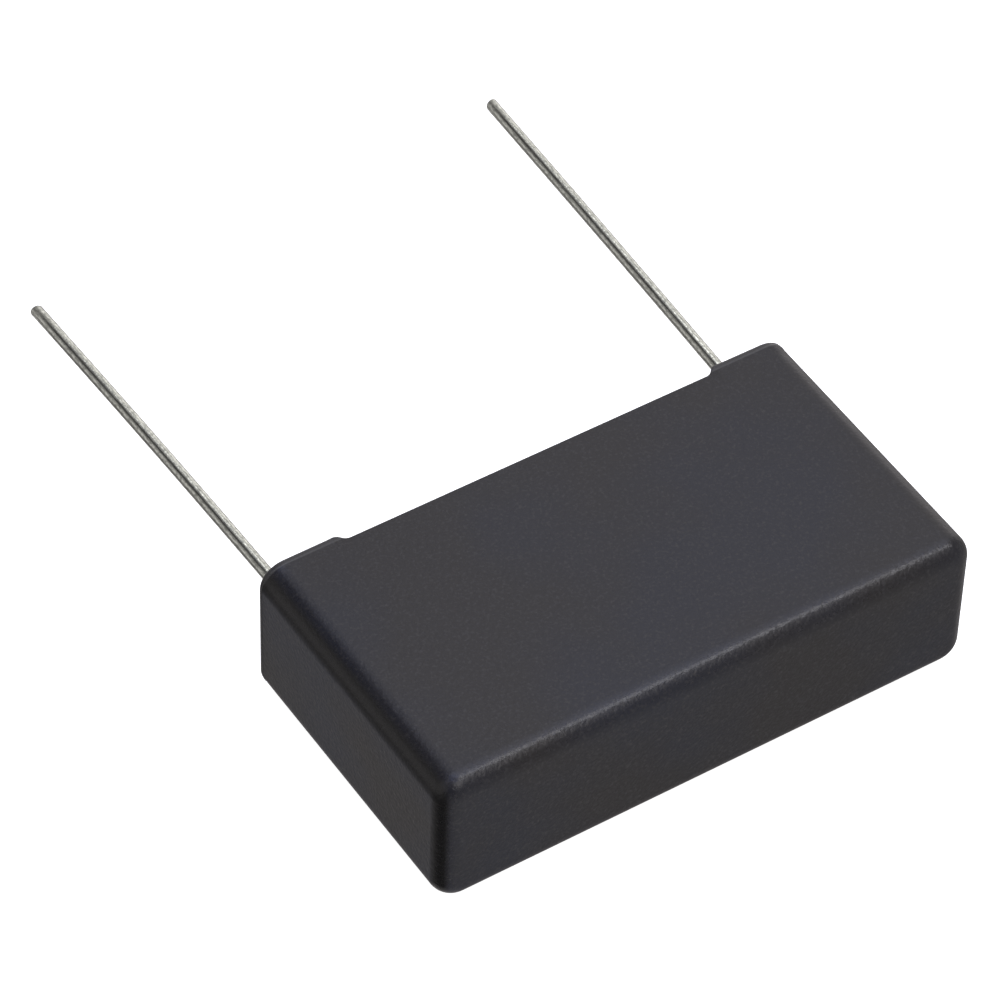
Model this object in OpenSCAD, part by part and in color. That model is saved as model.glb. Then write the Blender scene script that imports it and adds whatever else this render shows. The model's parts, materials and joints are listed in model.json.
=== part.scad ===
// Box film capacitor: a moulded case that is open at the lead end, a flattened
// roll of metallised film set in resin, and two tinned wire leads.
// The part lies on a broad face: X runs along the case, Y toward the leads, Z up.
// Its pieces are drawn standing on the closed end, and lying() lays them down.

/* [Case] */
// Length of the case
case_length = 31.5; // [24:0.1:42]
// Depth of the case, from the closed end to the rim between the feet
case_depth = 16.6; // [13:0.1:30]
// Thickness of the case, between its broad faces
case_thickness = 8.7; // [6:0.1:11]
// Thickness of the side walls
wall = 0.8; // [0.5:0.05:1.1]
// Thickness of the closed end
end_wall = 0.9; // [0.5:0.05:1.5]
// Radius of the four edges that run along the depth
side_round = 1.4; // [1.25:0.05:2]
// Radius of the edges round the closed end
end_round = 1.15; // [0.5:0.05:1.2]

/* [Feet] */
// Height of the feet over the rim between them
foot_height = 0.5; // [0.3:0.05:0.9]
// Length of a foot's tip, from the end of the case
foot_length = 4.2; // [2.5:0.1:7]
// Run of the curved slope from a foot's tip to the rim
foot_slope = 0.9; // [0.6:0.05:2]
// Radius of the outer edge of the feet
foot_round = 0.3; // [0.1:0.05:0.3]

/* [Leads] */
// Distance from a lead's axis to the end of the case
lead_inset = 2.05; // [1.9:0.05:4]
// Diameter of the wire
lead_diameter = 0.7; // [0.5:0.05:1]
// Length of the left lead past the feet
left_free_length = 25.5; // [5:0.1:40]
// Length of the right lead past the feet
right_free_length = 26.65; // [5:0.05:40]
// Angle by which the left lead leans outward
left_splay = 1.5; // [0.5:0.1:6]
// Angle by which the right lead leans outward
right_splay = 2.1; // [0.5:0.1:6]
// Chamfer at a lead's tip
tip_chamfer = 0.1; // [0.05:0.05:0.2]

/* [Winding] */
// Resin between the roll and the case
winding_gap = 0.4; // [0.2:0.05:0.8]
// Resin over the roll at the lead end
winding_cover = 1.3; // [0.6:0.1:3]
// Thickness of the sprayed metal on each end of the roll
contact_thickness = 0.5; // [0.4:0.05:0.9]
// Depth by which a wire is sunk into the sprayed metal
weld_sink = 0.15; // [0.05:0.05:0.2]
// Length of wire that lies on the sprayed metal
weld_length = 9; // [3:0.5:10]
// Distance by which the roll and its leads sit off the middle of the case
winding_shift = 0.3; // [0:0.05:0.35]

/* [Resin] */
// Depth of the resin below the rim between the feet
resin_recess = 0.4; // [0.3:0.05:1]
// Width of the resin's rise to the walls and leads
rise_width = 0.35; // [0.2:0.05:0.5]
// Height of the resin's rise to the walls and leads
rise_height = 0.15; // [0.05:0.05:0.25]

/* [Hidden] */
$fn = 64;
// Length by which a cutting shape runs past what it cuts
past = 1;
LEFT = -1;
RIGHT = 1;

foot_top = case_depth + foot_height;
cavity_length = case_length - 2 * wall;
cavity_thickness = case_thickness - 2 * wall;
cavity_round = side_round - wall;
floor_round = min(0.4, 0.8 * cavity_round);
resin_level = case_depth - resin_recess;
wall_rise_width = min(rise_width, 0.8 * cavity_round);
lead_radius = lead_diameter / 2;
lead_offset = case_length / 2 - lead_inset;
contact_face = lead_offset - lead_radius + weld_sink;
film_width = 2 * (contact_face - contact_thickness);
roll_thickness = cavity_thickness - 2 * winding_gap;
roll_bottom = end_wall + winding_gap;
roll_top = resin_level - winding_cover;
leg_bottom = roll_top - weld_length;
// The bent wire swells a little, and the swelling joins its leg to its run.
bend_swell = 1.05;
bend_gap = 0.1 * lead_radius;

// Lays the standing part on its broad face, with its leads toward +Y.
module lying() {
    translate([0, -foot_top / 2, case_thickness / 2])
    rotate([-90, 0, 0])
        children();
}

// Draws its children again at the other three corners.
module at_corners() {
    for (flip_x = [0, 1], flip_y = [0, 1])
        mirror([flip_x, 0, 0])
        mirror([0, flip_y, 0])
            children();
}

// What a rounded corner of this radius takes away, in the first quadrant.
module corner_waste(radius) {
    difference() {
        square(radius + past);
        circle(radius);
    }
}

// Section of a block's edge: its outer side is at X = width, rounded at both ends.
module edge_section(width, bottom, top, bottom_round, top_round) {
    difference() {
        translate([0, bottom])
            square([width, top - bottom]);
        if (bottom_round > 0)
            translate([width - bottom_round, bottom + bottom_round])
            mirror([0, 1])
                corner_waste(bottom_round);
        if (top_round > 0)
            translate([width - top_round, top - top_round])
                corner_waste(top_round);
    }
}

// Section of the resin's rise to a wall at X = width: a shallow arc.
module wall_rise_section(width) {
    radius = (wall_rise_width ^ 2 + rise_height ^ 2) / (2 * rise_height);
    difference() {
        translate([width - wall_rise_width, resin_level])
            square([wall_rise_width, rise_height]);
        translate([width - wall_rise_width, resin_level + radius])
            circle(radius);
    }
}

// Takes an edge section round a rectangle with round corners.
module edge_frame(length, thickness, corner) {
    half_length = length / 2 - corner;
    half_thickness = thickness / 2 - corner;
    for (flip = [0, 1]) {
        mirror([0, flip, 0])
        translate([0, half_thickness, 0])
        rotate([90, 0, 90])
        linear_extrude(height = 2 * half_length, center = true)
            children();
        mirror([flip, 0, 0])
        translate([half_length, 0, 0])
        rotate([90, 0, 0])
        linear_extrude(height = 2 * half_thickness, center = true)
            children();
    }
    at_corners()
        translate([half_length, half_thickness, 0])
        rotate_extrude(angle = 90)
            children();
}

// Block with four rounded upright edges, and a radius of its own at each end.
module rounded_block(length, thickness, bottom, top, corner, bottom_round, top_round) {
    core_length = length - 2 * corner;
    core_thickness = thickness - 2 * corner;
    translate([-core_length / 2, -core_thickness / 2, bottom])
        cube([core_length, core_thickness, top - bottom]);
    edge_frame(length, thickness, corner)
        edge_section(corner, bottom, top, bottom_round, top_round);
}

// The hollow of the case, filled up to a level.
module cavity(level) {
    rounded_block(cavity_length, cavity_thickness, end_wall, level, cavity_round, floor_round, 0);
}

// Side view of what stays of one foot over the rim: its tip and an S-shaped slope.
module foot_outline() {
    tip_start = case_length / 2 - foot_length;
    turn = 2 * atan(foot_height / foot_slope);
    radius = foot_slope / (2 * sin(turn));
    translate([tip_start, case_depth])
        square([foot_length + past, foot_height + 2 * past]);
    intersection() {
        translate([tip_start - foot_slope / 2, case_depth])
            square([foot_slope / 2, foot_height]);
        translate([tip_start, foot_top - radius])
            circle(radius);
    }
    difference() {
        translate([tip_start - foot_slope, case_depth])
            square([foot_slope / 2, foot_height / 2]);
        translate([tip_start - foot_slope, case_depth + radius])
            circle(radius);
    }
}

// What is cut away between the feet, through both broad walls.
module gap_between_feet() {
    rotate([90, 0, 0])
    linear_extrude(height = case_thickness + 2 * past, center = true)
        difference() {
            translate([-case_length / 2, case_depth])
                square([case_length, foot_height + past]);
            foot_outline();
            mirror([1, 0])
                foot_outline();
        }
}

// Section of the flattened roll: two flats and two half rounds.
module roll_section() {
    straight = roll_top - roll_bottom - roll_thickness;
    translate([-roll_thickness / 2, roll_bottom + roll_thickness / 2])
        square([roll_thickness, straight]);
    for (level = [0, straight])
        translate([0, roll_bottom + roll_thickness / 2 + level])
            circle(d = roll_thickness);
}

// Puts what is drawn on the +X side of the roll's middle on one side of the case.
module at_side(side) {
    translate([winding_shift, 0, 0])
    mirror([side == LEFT ? 1 : 0, 0, 0])
        children();
}

// Stretch of the flattened roll, from one place along it to another.
module roll_slice(from, to) {
    translate([from, 0, 0])
    rotate([90, 0, 90])
    linear_extrude(height = to - from)
        roll_section();
}

// Straight leg of a lead, from its weld up to the bend at the feet.
module lead_leg() {
    translate([lead_offset, 0, leg_bottom])
        cylinder(h = foot_top - bend_gap - leg_bottom, r = lead_radius);
}

// Sprayed metal on one end of the roll, with the seat of the welded wire.
module end_contact() {
    difference() {
        roll_slice(contact_face - contact_thickness, contact_face);
        lead_leg();
    }
}

// Ring of resin that climbs the leg of a lead.
module lead_rise() {
    outer = lead_radius + rise_width;
    radius = (rise_width ^ 2 + rise_height ^ 2) / (2 * rise_height);
    translate([lead_offset, 0, resin_level])
    rotate_extrude()
        difference() {
            square([outer, rise_height]);
            translate([outer, radius])
                circle(radius);
        }
}

// Lead: its leg, a slight bend level with the feet and a run that leans outward.
module lead(splay, free_length) {
    run = free_length / cos(splay);
    lead_leg();
    translate([lead_offset, 0, foot_top])
    rotate([0, splay, 0]) {
        sphere(r = bend_swell * lead_radius);
        translate([0, 0, bend_gap])
            cylinder(h = run - tip_chamfer - bend_gap, r = lead_radius);
        translate([0, 0, run - tip_chamfer])
            cylinder(h = tip_chamfer, r1 = lead_radius, r2 = lead_radius - tip_chamfer);
    }
}

module case() {
    color("#43444b")
    lying()
        difference() {
            rounded_block(case_length, case_thickness, 0, foot_top, side_round, end_round, foot_round);
            cavity(foot_top + past);
            gap_between_feet();
        }
}

module potting() {
    color("#2c2d31")
    lying()
        difference() {
            union() {
                cavity(resin_level);
                edge_frame(cavity_length, cavity_thickness, cavity_round)
                    wall_rise_section(cavity_round);
                for (side = [LEFT, RIGHT])
                    at_side(side)
                        lead_rise();
            }
            at_side(RIGHT)
                roll_slice(-contact_face, contact_face);
            for (side = [LEFT, RIGHT])
                at_side(side)
                    lead_leg();
        }
}

module film_winding() {
    color("#c3c6ca")
    lying()
    at_side(RIGHT)
        roll_slice(-film_width / 2, film_width / 2);
}

module end_contact_left() {
    color("#9b9c9d")
    lying()
    at_side(LEFT)
        end_contact();
}

module end_contact_right() {
    color("#9b9c9d")
    lying()
    at_side(RIGHT)
        end_contact();
}

module lead_left() {
    color("#b9b7b1")
    lying()
    at_side(LEFT)
        lead(left_splay, left_free_length);
}

module lead_right() {
    color("#b9b7b1")
    lying()
    at_side(RIGHT)
        lead(right_splay, right_free_length);
}

case();
potting();
film_winding();
end_contact_left();
end_contact_right();
lead_left();
lead_right();
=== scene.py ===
import json
import math

import bpy
import bmesh
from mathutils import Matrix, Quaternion, Vector


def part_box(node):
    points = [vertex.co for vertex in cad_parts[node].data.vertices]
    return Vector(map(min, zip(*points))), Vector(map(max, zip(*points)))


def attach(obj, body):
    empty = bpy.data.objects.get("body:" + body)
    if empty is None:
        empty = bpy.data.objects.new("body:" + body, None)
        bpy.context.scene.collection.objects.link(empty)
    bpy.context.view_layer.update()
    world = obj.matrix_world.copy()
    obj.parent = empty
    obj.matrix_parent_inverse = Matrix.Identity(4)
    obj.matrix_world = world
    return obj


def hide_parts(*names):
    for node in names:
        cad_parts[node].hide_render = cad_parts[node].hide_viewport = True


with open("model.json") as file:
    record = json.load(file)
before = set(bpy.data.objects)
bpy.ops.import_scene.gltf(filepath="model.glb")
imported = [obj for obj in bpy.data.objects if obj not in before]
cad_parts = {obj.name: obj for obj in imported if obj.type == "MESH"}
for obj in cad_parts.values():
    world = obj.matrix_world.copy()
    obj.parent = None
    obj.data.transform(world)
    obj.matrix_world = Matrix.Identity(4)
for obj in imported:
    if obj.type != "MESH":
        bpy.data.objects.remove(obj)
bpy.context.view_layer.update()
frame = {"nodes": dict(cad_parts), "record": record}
mm = 0.001
samePlace = 1e-6  # places closer than this are taken as one
mounts = {mount["name"]: mount for mount in frame["record"]["mounts"]}
caseLow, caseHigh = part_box("case")


def clearSelection():
    if bpy.context.object and bpy.context.object.mode != "OBJECT":
        bpy.ops.object.mode_set(mode="OBJECT")
    bpy.ops.object.select_all(action="DESELECT")


def newPiece(name):
    piece = bpy.context.object
    piece.name = name
    piece.data.name = name
    bpy.ops.object.transform_apply(location=True, rotation=True, scale=True)
    return piece


def editPiece(piece):
    clearSelection()
    piece.select_set(True)
    bpy.context.view_layer.objects.active = piece
    bpy.ops.object.mode_set(mode="EDIT")


def pick(piece, kind, test):
    bpy.ops.mesh.select_all(action="DESELECT")
    bpy.ops.mesh.select_mode(type={"verts": "VERT", "edges": "EDGE", "faces": "FACE"}[kind])
    mesh = bmesh.from_edit_mesh(piece.data)
    found = [part for part in getattr(mesh, kind) if test(part)]
    for part in found:
        part.select_set(True)
    mesh.select_flush_mode()
    bmesh.update_edit_mesh(piece.data)


def near(a, b):
    return abs(a - b) < samePlace


def facesLeads(face):
    return face.normal.y > 0.99  # within 8 degrees of the way the leads point


def cutAcross(place, direction):
    bpy.ops.mesh.bisect(plane_co=place, plane_no=direction, threshold=samePlace)


def applyModifier(piece, kind, **values):
    clearSelection()
    piece.select_set(True)
    bpy.context.view_layer.objects.active = piece
    modifier = piece.modifiers.new(kind.lower(), kind)
    for key, value in values.items():
        setattr(modifier, key, value)
    bpy.ops.object.modifier_apply(modifier=modifier.name)


def finishPiece(piece, material, node, smoothAngle=27):
    clearSelection()
    piece.select_set(True)
    bpy.context.view_layer.objects.active = piece
    bpy.ops.object.shade_smooth_by_angle(angle=math.radians(smoothAngle))
    applyModifier(piece, "WEIGHTED_NORMAL", keep_sharp=True)
    piece.data.materials.clear()
    piece.data.materials.append(material)
    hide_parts(node)
    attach(piece, "root")


class Value:
    def __init__(self, tree, socket):
        self.tree = tree
        self.socket = socket

    def maths(self, operation, first, second=0.0):
        return self.tree.node("ShaderNodeMath", {"operation": operation}, {0: first, 1: second})

    def __add__(self, other):
        return self.maths("ADD", self, other)

    def __radd__(self, other):
        return self.maths("ADD", other, self)

    def __sub__(self, other):
        return self.maths("SUBTRACT", self, other)

    def __rsub__(self, other):
        return self.maths("SUBTRACT", other, self)

    def __mul__(self, other):
        return self.maths("MULTIPLY", self, other)

    def __rmul__(self, other):
        return self.maths("MULTIPLY", other, self)

    def __truediv__(self, other):
        return self.maths("DIVIDE", self, other)

    def __pow__(self, other):
        return self.maths("POWER", self, other)


class Tree:
    noiseTurn = (0.5, 0.7, 0.3)  # so that no flat face runs along the noise's own grid

    def __init__(self, name, world=None):
        self.material = world or bpy.data.materials.new(name)
        self.material.use_nodes = True
        self.nodes = self.material.node_tree.nodes
        self.links = self.material.node_tree.links
        self.shader = self.nodes["Background" if world else "Principled BSDF"]
        self.place = self.node("ShaderNodeTexCoord", {}, {}, "Object")

    def node(self, kind, settings, inputs, output=0):
        made = self.nodes.new(kind)
        for key, value in settings.items():
            if key == "stops":
                while len(made.color_ramp.elements) < len(value):
                    made.color_ramp.elements.new(0.5)
                for stop, (place, shade) in zip(made.color_ramp.elements, value):
                    stop.position = place
                    stop.color = (*shade, 1) if isinstance(shade, tuple) else (shade,) * 3 + (1,)
            else:
                setattr(made, key, value)
        for key, value in inputs.items():
            self.feed(made.inputs[key], value)
        return Value(self, made.outputs[output])

    def feed(self, socket, value):
        if isinstance(value, Value):
            self.links.new(value.socket, socket)
        else:
            socket.default_value = value

    def mapped(self, scale=(1, 1, 1), turn=(0, 0, 0)):
        return self.node("ShaderNodeMapping", {}, {
            "Vector": self.place, "Scale": scale, "Rotation": turn})

    def noise(self, grain, detail=2.0, roughness=0.5, along=None):
        vector = self.mapped(scale=along) if along else self.mapped(turn=self.noiseTurn)
        return self.node("ShaderNodeTexNoise", {}, {
            "Vector": vector, "Scale": 1 / grain, "Detail": detail, "Roughness": roughness})

    def ramp(self, value, *stops):
        return self.node("ShaderNodeValToRGB", {"stops": stops}, {"Fac": value})

    def blend(self, factor, low, high):
        # a Mix node's colours are its inputs 6 and 7, and its output 2
        return self.node("ShaderNodeMix", {"data_type": "RGBA"}, {
            "Factor": factor, 6: low, 7: high}, 2)

    def facing(self):
        normal = self.node("ShaderNodeTexCoord", {}, {}, "Normal")
        turned = self.node("ShaderNodeVectorMath", {"operation": "ABSOLUTE"}, {0: normal})
        return [self.axis(letter, turned) for letter in "XYZ"]

    def axis(self, letter, vector=None):
        return self.node("ShaderNodeSeparateXYZ", {}, {0: vector or self.place}, letter)

    def larger(self, first, second):
        return self.node("ShaderNodeMath", {"operation": "MAXIMUM"}, {0: first, 1: second})

    def bump(self, height, depth, under=None):
        inputs = {"Height": height, "Distance": depth, "Strength": 1.0}
        if under:
            inputs["Normal"] = under
        return self.node("ShaderNodeBump", {}, inputs)

    def shade(self, **inputs):
        for key, value in inputs.items():
            self.feed(self.shader.inputs[key.replace("_", " ")], value)
        return self.material


print("scene: materials")

casePlastic = dict(
    plain=(0.0165, 0.0152, 0.0155, 1), blue=(0.0140, 0.0152, 0.0215, 1),
    tintPatch=9 * mm, tintStops=((0.40, 0.0), (0.62, 1.0)),
    fleck=(0.034, 0.033, 0.034, 1), fleckSize=0.16 * mm, fleckStops=((0.52, 0.0), (0.78, 1.0)),
    grain=0.22 * mm, grainDepth=0.023 * mm, grainRoughness=0.10, roughness=0.5, specular=0.45,
    # painted shade: this darker colour is laid on the rounded edges at both ends of the case
    endShadeColour=(0.0052, 0.0050, 0.0052, 1), edgeRoughness=0.28,
    edgeStops=((0.90, 1.0), (0.99, 0.0)),
    shadedEndStops=((0.50, 0.0), (0.70, 1.0), (0.94, 1.0), (0.985, 0.6), (0.999, 0.0)),
    # painted highlight: this pale colour is laid along the raised line round the tips of the feet
    # and on their rounded edges
    paintedFootHighlight=(0.060, 0.060, 0.059, 1), footHighlightDepth=0.5 * mm,
    footHighlightStops=((0.10, 0.0), (0.20, 1.0), (0.34, 1.0), (0.44, 0.62), (1.0, 0.5)),
    footHighlightSides=((0.55, 1.0), (0.92, 0.0)))


def mouldedPlastic():
    look = casePlastic
    tree = Tree("mouldedPlastic")
    patches = tree.ramp(tree.noise(look["tintPatch"], 2), *look["tintStops"])
    grain = tree.noise(look["grain"], 2, 0.6)
    flecks = tree.ramp(tree.noise(look["fleckSize"], 2), *look["fleckStops"])
    colour = tree.blend(patches, look["plain"], look["blue"])
    colour = tree.blend(flecks, colour, look["fleck"])
    x, y, z = tree.facing()
    edge = tree.ramp(tree.larger(tree.larger(x, y), z), *look["edgeStops"])
    rough = look["roughness"] - edge * (look["roughness"] - look["edgeRoughness"])
    # the mould is smoother on its rounded edges; the edges at both ends of the case are painted
    # darker, painted shade for the dark surroundings they reflect
    shadedEnds = tree.ramp(x, *look["shadedEndStops"])
    # painted highlight: the tips of the feet are painted paler, most of all along their raised
    # line
    along = tree.axis("Y") / look["footHighlightDepth"] - (caseHigh.y / look["footHighlightDepth"] - 1)
    paintedFootHighlight = tree.ramp(along, *look["footHighlightStops"]) * tree.ramp(x, *look["footHighlightSides"])
    # painted shade on the rounded edges at both ends of the case
    colour = tree.blend(shadedEnds, colour, look["endShadeColour"])
    return tree.shade(
        # painted highlight on the tips of the feet
        Base_Color=tree.blend(paintedFootHighlight, colour, look["paintedFootHighlight"]),
        Roughness=rough + look["grainRoughness"] * (grain - 0.5),
        Specular_IOR_Level=look["specular"], Normal=tree.bump(grain, look["grainDepth"]))


pottingResin = dict(
    dark=(0.016, 0.016, 0.018, 1), pale=(0.032, 0.031, 0.033, 1), swirl=3 * mm,
    ripple=1.2 * mm, rippleDepth=0.09 * mm, roughness=0.22, swirlRoughness=0.25)


def castResin():
    look = pottingResin
    tree = Tree("castResin")
    swirl = tree.noise(look["swirl"], 4)
    ripple = tree.noise(look["ripple"], 3)
    return tree.shade(
        Base_Color=tree.blend(swirl, look["dark"], look["pale"]),
        Roughness=look["roughness"] + look["swirlRoughness"] * swirl,
        Normal=tree.bump(ripple, look["rippleDepth"]))


wireFinish = dict(
    bright=(0.76, 0.785, 0.72, 1), dull=(0.42, 0.435, 0.395, 1),
    patch=0.11 * mm, patchStretch=(1, 0.45, 1), patchStops=((0.38, 0.0), (0.60, 1.0)),
    streak=0.05 * mm, streakStretch=(1, 0.06, 1), streakDepth=0.006 * mm,
    dent=0.20 * mm, dentDepth=0.008 * mm, roughness=0.14, dullRoughness=0.26)


def tinnedWire():
    look = wireFinish
    tree = Tree("tinnedWire")
    patches = tree.noise(look["patch"], 3, 0.6, along=look["patchStretch"])
    patches = tree.ramp(patches, *look["patchStops"])
    streaks = tree.noise(look["streak"], 2, along=look["streakStretch"])  # drawn through a die
    dents = tree.noise(look["dent"], 3, 0.55)
    surface = tree.bump(dents, look["dentDepth"])
    surface = tree.bump(streaks, look["streakDepth"], under=surface)
    return tree.shade(
        Base_Color=tree.blend(patches, look["dull"], look["bright"]), Metallic=1.0,
        Normal=surface,
        Roughness=look["dullRoughness"] - (look["dullRoughness"] - look["roughness"]) * patches)


zincFinish = dict(dark=(0.22, 0.22, 0.22, 1), pale=(0.42, 0.42, 0.43, 1), speck=0.12 * mm,
                  speckDepth=0.04 * mm)


def sprayedZinc():
    look = zincFinish
    tree = Tree("sprayedZinc")
    speck = tree.noise(look["speck"], 4, 0.65)
    return tree.shade(
        Base_Color=tree.blend(speck, look["dark"], look["pale"]), Metallic=0.8, Roughness=0.6,
        Normal=tree.bump(speck, look["speckDepth"]))


filmFinish = dict(dark=(0.42, 0.43, 0.46, 1), pale=(0.66, 0.68, 0.72, 1), turn=0.05 * mm,
                  turnStretch=(0.02, 1, 1), turnDepth=0.01 * mm)


def woundFilm():
    look = filmFinish
    tree = Tree("woundFilm")
    turns = tree.noise(look["turn"], 2, along=look["turnStretch"])
    return tree.shade(
        Base_Color=tree.blend(turns, look["dark"], look["pale"]), Metallic=0.7, Roughness=0.3,
        Normal=tree.bump(turns, look["turnDepth"]))


plastic = mouldedPlastic()
resin = castResin()
tinned = tinnedWire()
zinc = sprayedZinc()
film = woundFilm()
for node, material in {"potting": resin, "film_winding": film, "end_contact_left": zinc,
                       "end_contact_right": zinc}.items():
    piece = frame["nodes"][node]
    piece.data.materials.clear()
    piece.data.materials.append(material)


print("scene: case")

caseShape = dict(
    sideRound=1.4 * mm, endRound=1.15 * mm, roundSteps=10, wall=0.8 * mm, closedWall=0.9 * mm,
    footHeight=0.5 * mm, footLength=4.2 * mm, footSlope=0.9 * mm, slopeSteps=8,
    rimStrip=0.9 * mm, footRound=0.3 * mm, rimRound=0.05 * mm, rimSteps=4,
    beadWidth=0.12 * mm, beadHeight=0.02 * mm, beadStart=0.25 * mm, beadGap=0.02 * mm,
    slack=0.01 * mm, sharpAngle=60)


def buildCase():
    shape = caseShape
    middle, size = (caseLow + caseHigh) / 2, caseHigh - caseLow
    tipY, rimY = caseHigh.y, caseHigh.y - shape["footHeight"]
    clearSelection()
    bpy.ops.mesh.primitive_cube_add(size=1, location=middle, scale=size)
    piece = newPiece("mouldedCase")
    editPiece(piece)
    pick(piece, "edges", lambda e: not near(e.verts[0].co.y, e.verts[1].co.y))  # along the depth
    bpy.ops.mesh.bevel(offset=shape["sideRound"], segments=shape["roundSteps"], affect="EDGES")
    pick(piece, "edges", lambda e: all(near(v.co.y, caseLow.y) for v in e.verts))
    bpy.ops.mesh.bevel(offset=shape["endRound"], segments=shape["roundSteps"], affect="EDGES")
    pick(piece, "faces", facesLeads)  # the open end becomes a rim and a hollow
    bpy.ops.mesh.inset(thickness=shape["wall"])
    depth = size.y - shape["closedWall"]
    bpy.ops.mesh.extrude_region_move(TRANSFORM_OT_translate={"value": (0, -depth, 0)})
    bpy.ops.mesh.select_all(action="SELECT")
    cutAcross((0, rimY - shape["rimStrip"], 0), (0, 1, 0))
    slopeTop = size.x / 2 - shape["footLength"]  # cuts for the slopes, in the strip under the rim
    for side in (-1, 1):
        cuts = [slopeTop + shape["beadStart"]] + [
            slopeTop - shape["footSlope"] * step / shape["slopeSteps"]
            for step in range(shape["slopeSteps"] + 1)]
        for cut in cuts:
            pick(piece, "faces", lambda f: f.calc_center_median().y > rimY - shape["rimStrip"])
            cutAcross((middle.x + side * cut, 0, 0), (1, 0, 0))
    turn = 2 * math.atan(shape["footHeight"] / shape["footSlope"])
    arc = shape["footSlope"] / (2 * math.sin(turn))
    for step in range(1, shape["slopeSteps"] + 1):  # lowers the rim along two arcs that meet
        run = shape["footSlope"] * step / shape["slopeSteps"]
        if 2 * run <= shape["footSlope"]:
            drop = arc - math.sqrt(arc ** 2 - run ** 2)
        else:
            rest = shape["footSlope"] - run
            drop = shape["footHeight"] - arc + math.sqrt(arc ** 2 - rest ** 2)
        last = step == shape["slopeSteps"]
        reach = slopeTop - run
        pick(piece, "verts", lambda v: near(v.co.y, tipY) and (
            near(abs(v.co.x - middle.x), reach) or (last and abs(v.co.x - middle.x) < reach)))
        bpy.ops.transform.translate(value=(0, -drop, 0))
    beadTop = tipY - shape["footRound"] - shape["beadGap"]  # a fine raised line round each foot
    for level in (0, 0.5, 1):
        pick(piece, "faces", lambda f: f.calc_center_median().y > rimY - shape["rimStrip"]
             and abs(f.calc_center_median().x - middle.x) > slopeTop)
        cutAcross((0, beadTop - level * shape["beadWidth"], 0), (0, 1, 0))
    pick(piece, "verts", lambda v: near(v.co.y, beadTop - shape["beadWidth"] / 2)
         and onOutside(v.co) and abs(v.co.x - middle.x) > slopeTop + shape["slack"])
    bpy.ops.transform.shrink_fatten(value=shape["beadHeight"])
    bpy.ops.object.mode_set(mode="OBJECT")
    softenRim(piece, tipY, rimY)
    return piece


def onOutside(place):
    middle, half = (caseLow + caseHigh) / 2, (caseHigh - caseLow) / 2
    inside = caseShape["wall"] / 2
    return (abs(place.x - middle.x) > half.x - inside
            or abs(place.z - middle.z) > half.z - inside)


def softenRim(piece, tipY, rimY):
    shape = caseShape
    weights = piece.data.attributes.new("bevel_weight_edge", "FLOAT", "EDGE")
    faces = {}
    for face in piece.data.polygons:
        for key in face.edge_keys:
            faces.setdefault(key, []).append(face.normal)
    for edge in piece.data.edges:
        ends = [piece.data.vertices[i].co for i in edge.vertices]
        normals = faces[tuple(sorted(edge.vertices))]
        sharp = normals[0].angle(normals[-1]) > math.radians(shape["sharpAngle"])
        if sharp and min(v.y for v in ends) > rimY - shape["slack"]:
            onFoot = all(near(v.y, tipY) and onOutside(v) for v in ends)
            weights.data[edge.index].value = (
                1.0 if onFoot else shape["rimRound"] / shape["footRound"])
    applyModifier(piece, "BEVEL", width=shape["footRound"], segments=shape["rimSteps"],
                  limit_method="WEIGHT", use_clamp_overlap=False)


finishPiece(buildCase(), plastic, "case")


print("scene: leads")

leadShape = dict(around=32, bendSteps=4, runSteps=12)
leads = {
    "lead_left": dict(tipRound=0.09 * mm, tipTilt=4, tipSteps=2, bow=0.07 * mm),
    "lead_right": dict(tipRound=0.2 * mm, tipTilt=-8, tipSteps=3, bow=0.045 * mm),
}


def buildLead(node, shape):
    mount = mounts[node]
    radius = mount["dims"]["r_mm"] * mm
    low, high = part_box(node)
    bend = Vector(mount["pos_m"])
    direction = Vector(mount["axis"]).normalized()
    legLength = bend.y - low.y
    runLength = (high.y - bend.y) / direction.y
    clearSelection()
    bpy.ops.mesh.primitive_cylinder_add(
        vertices=leadShape["around"], radius=radius, depth=legLength, end_fill_type="NGON",
        location=(bend.x, low.y + legLength / 2, bend.z), rotation=(math.pi / 2, 0, 0))
    piece = newPiece("tinned_" + node)
    editPiece(piece)
    pick(piece, "faces", facesLeads)
    lean = math.atan2(direction.x, direction.y)
    stepTurn = lean / leadShape["bendSteps"]
    place, heading = Vector(bend), 0.0
    for step in range(leadShape["bendSteps"]):  # a slight bend, in short straight steps
        bpy.ops.transform.rotate(value=-stepTurn / 2, orient_axis="Z", center_override=place)
        heading += stepTurn
        move = radius / 2 * Vector((math.sin(heading), math.cos(heading), 0))
        bpy.ops.mesh.extrude_region_move(TRANSFORM_OT_translate={"value": move})
        place += move
        bpy.ops.transform.rotate(value=-stepTurn / 2, orient_axis="Z", center_override=place)
    rest = runLength - leadShape["bendSteps"] * radius / 2 - shape["tipRound"]
    bow = 0.0
    for step in range(1, leadShape["runSteps"] + 1):
        before, bow = bow, shape["bow"] * math.sin(math.pi * step / leadShape["runSteps"])
        move = direction * rest / leadShape["runSteps"] + Vector((bow - before, 0, 0))
        bpy.ops.mesh.extrude_region_move(TRANSFORM_OT_translate={"value": move})
        place += move
    bpy.ops.transform.rotate(value=math.radians(shape["tipTilt"]), orient_axis="Z",
                             center_override=place)
    bpy.ops.mesh.bevel(offset=shape["tipRound"], segments=shape["tipSteps"], affect="EDGES")
    bpy.ops.object.mode_set(mode="OBJECT")
    return piece


for node, shape in leads.items():
    finishPiece(buildLead(node, shape), tinned, node, smoothAngle=50)


print("scene: studio")

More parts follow.
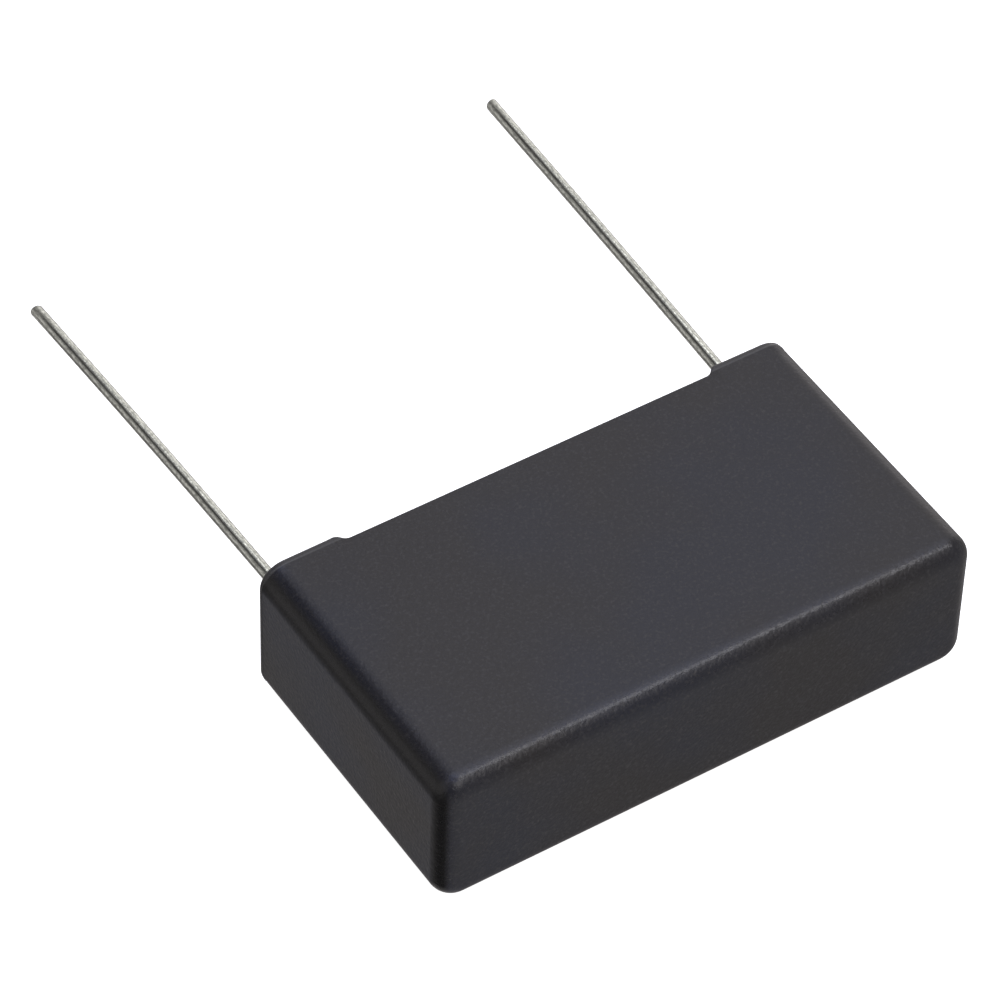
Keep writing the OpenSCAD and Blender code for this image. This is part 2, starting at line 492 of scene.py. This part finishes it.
studio = dict(
    floorSize=2.0, floorGap=0.01 * mm, floorColour=(0.86, 0.86, 0.86, 1), floorCloud=0.2,
    cloudShade=0.99, floorRoughness=0.9, floorGlow=0.95, ambient=0.34,
    lowColour=(1.0, 0.955, 0.955, 1), highColour=(0.72, 0.80, 1.30, 1),
    highStops=((0.86, 0.0), (0.97, 1.0)))
lamps = {  # soft boxes: where each stands, how far off, how wide, and how bright it looks
    "high": dict(azimuth=46, elevation=64, distance=1.5, size=1.0, glow=1.4,
                 colour=(0.99, 0.98, 1.0)),
    "front": dict(azimuth=272, elevation=50, distance=1.5, size=1.0, glow=1.78,
                  colour=(1.0, 0.96, 0.96)),
    "edge": dict(azimuth=326, elevation=61, distance=1.5, size=0.4, glow=6.2,
                 colour=(0.98, 0.97, 1.0)),
}
skyGlows = [  # broad lights without an edge, far away
    dict(azimuth=60, elevation=86, strength=1.3, tightness=14),
    dict(azimuth=345, elevation=66, strength=0.42, tightness=14),
    dict(azimuth=44, elevation=12, strength=0.85, tightness=9),
    dict(azimuth=186, elevation=24, strength=0.5, tightness=12),
    dict(azimuth=143, elevation=-3, strength=0.29, tightness=16),
    dict(azimuth=108, elevation=-59, strength=0.34, tightness=18),
]
darkSides = [
    dict(azimuth=124, elevation=47, strength=1.0, tightness=14),
    dict(azimuth=148, elevation=-30, strength=1.0, tightness=14),
    dict(azimuth=222, elevation=20, strength=1.0, tightness=6),
    dict(azimuth=196, elevation=-43, strength=1.0, tightness=6),
]
view = dict(aim=(-3.327 * mm, 5.792 * mm, 9.285 * mm), azimuth=-34.106, elevation=46.687,
            roll=1.826, distance=275.36 * mm, lens=199.3, sensor=36, clip=(0.01, 10))


def pointing(azimuth, elevation):
    turn, rise = math.radians(azimuth), math.radians(elevation)
    return Vector((math.cos(turn) * math.cos(rise), math.sin(turn) * math.cos(rise),
                   math.sin(rise)))


def studioFloor():
    tree = Tree("paleFloor")
    cloud = tree.noise(studio["floorCloud"], 2)
    low = tuple(part * studio["cloudShade"] for part in studio["floorColour"][:3]) + (1,)
    return tree.shade(
        Base_Color=tree.blend(cloud, low, studio["floorColour"]),
        Roughness=studio["floorRoughness"], Emission_Color=(1, 1, 1, 1),
        Emission_Strength=studio["floorGlow"])


def studioSky():
    world = bpy.data.worlds.new("studioSky")
    bpy.context.scene.world = world
    world.use_nodes = True
    tree = Tree(None, world)
    way = tree.node("ShaderNodeTexCoord", {}, {}, "Generated")

    def glow(light):
        facing = tree.node("ShaderNodeVectorMath", {"operation": "DOT_PRODUCT"}, {
            0: way, 1: pointing(light["azimuth"], light["elevation"])}, "Value")
        return light["strength"] * tree.larger(facing, 0.0) ** light["tightness"]

    strength = studio["ambient"]
    for shade in darkSides:
        strength = strength * (1 - glow(shade))
    for light in skyGlows:
        strength = strength + glow(light)
    height = tree.node("ShaderNodeVectorMath", {"operation": "DOT_PRODUCT"}, {
        0: way, 1: (0, 0, 1)}, "Value")
    colour = tree.blend(tree.ramp(height, *studio["highStops"]), studio["lowColour"],
                        studio["highColour"])
    tree.feed(tree.shader.inputs["Color"], colour)
    tree.feed(tree.shader.inputs["Strength"], strength)


def buildStudio():
    clearSelection()
    bpy.ops.mesh.primitive_plane_add(
        size=studio["floorSize"], location=(0, 0, caseLow.z - studio["floorGap"]))
    floor = newPiece("studioFloor")
    floor.data.materials.append(studioFloor())
    floor.visible_glossy = False  # the table is a light box: no dark wall mirrors in the wires
    for name, lamp in lamps.items():
        towards = pointing(lamp["azimuth"], lamp["elevation"])
        bpy.ops.object.light_add(type="AREA", location=towards * lamp["distance"])
        light = bpy.context.object
        light.name = name
        light.data.shape = "DISK"
        light.data.size = lamp["size"]
        light.data.energy = lamp["glow"] * (math.pi * lamp["size"] / 2) ** 2
        light.data.color = lamp["colour"]
        light.rotation_euler = towards.to_track_quat("Z", "Y").to_euler()
    studioSky()


def placeCamera():
    turn, rise = math.radians(view["azimuth"]), math.radians(view["elevation"])
    back = Vector((math.sin(turn) * math.cos(rise), -math.cos(turn) * math.cos(rise),
                   math.sin(rise)))
    data = bpy.data.cameras.new("camera")
    data.lens = view["lens"]
    data.sensor_width = view["sensor"]
    data.clip_start, data.clip_end = view["clip"]
    camera = bpy.data.objects.new("camera", data)
    bpy.context.scene.collection.objects.link(camera)
    camera.location = Vector(view["aim"]) + back * view["distance"]
    camera.rotation_mode = "QUATERNION"
    roll = Quaternion((0, 0, 1), math.radians(view["roll"]))
    camera.rotation_quaternion = back.to_track_quat("Z", "Y") @ roll
    bpy.context.scene.camera = camera


buildStudio()
placeCamera()
bpy.context.scene.view_settings.view_transform = "Standard"
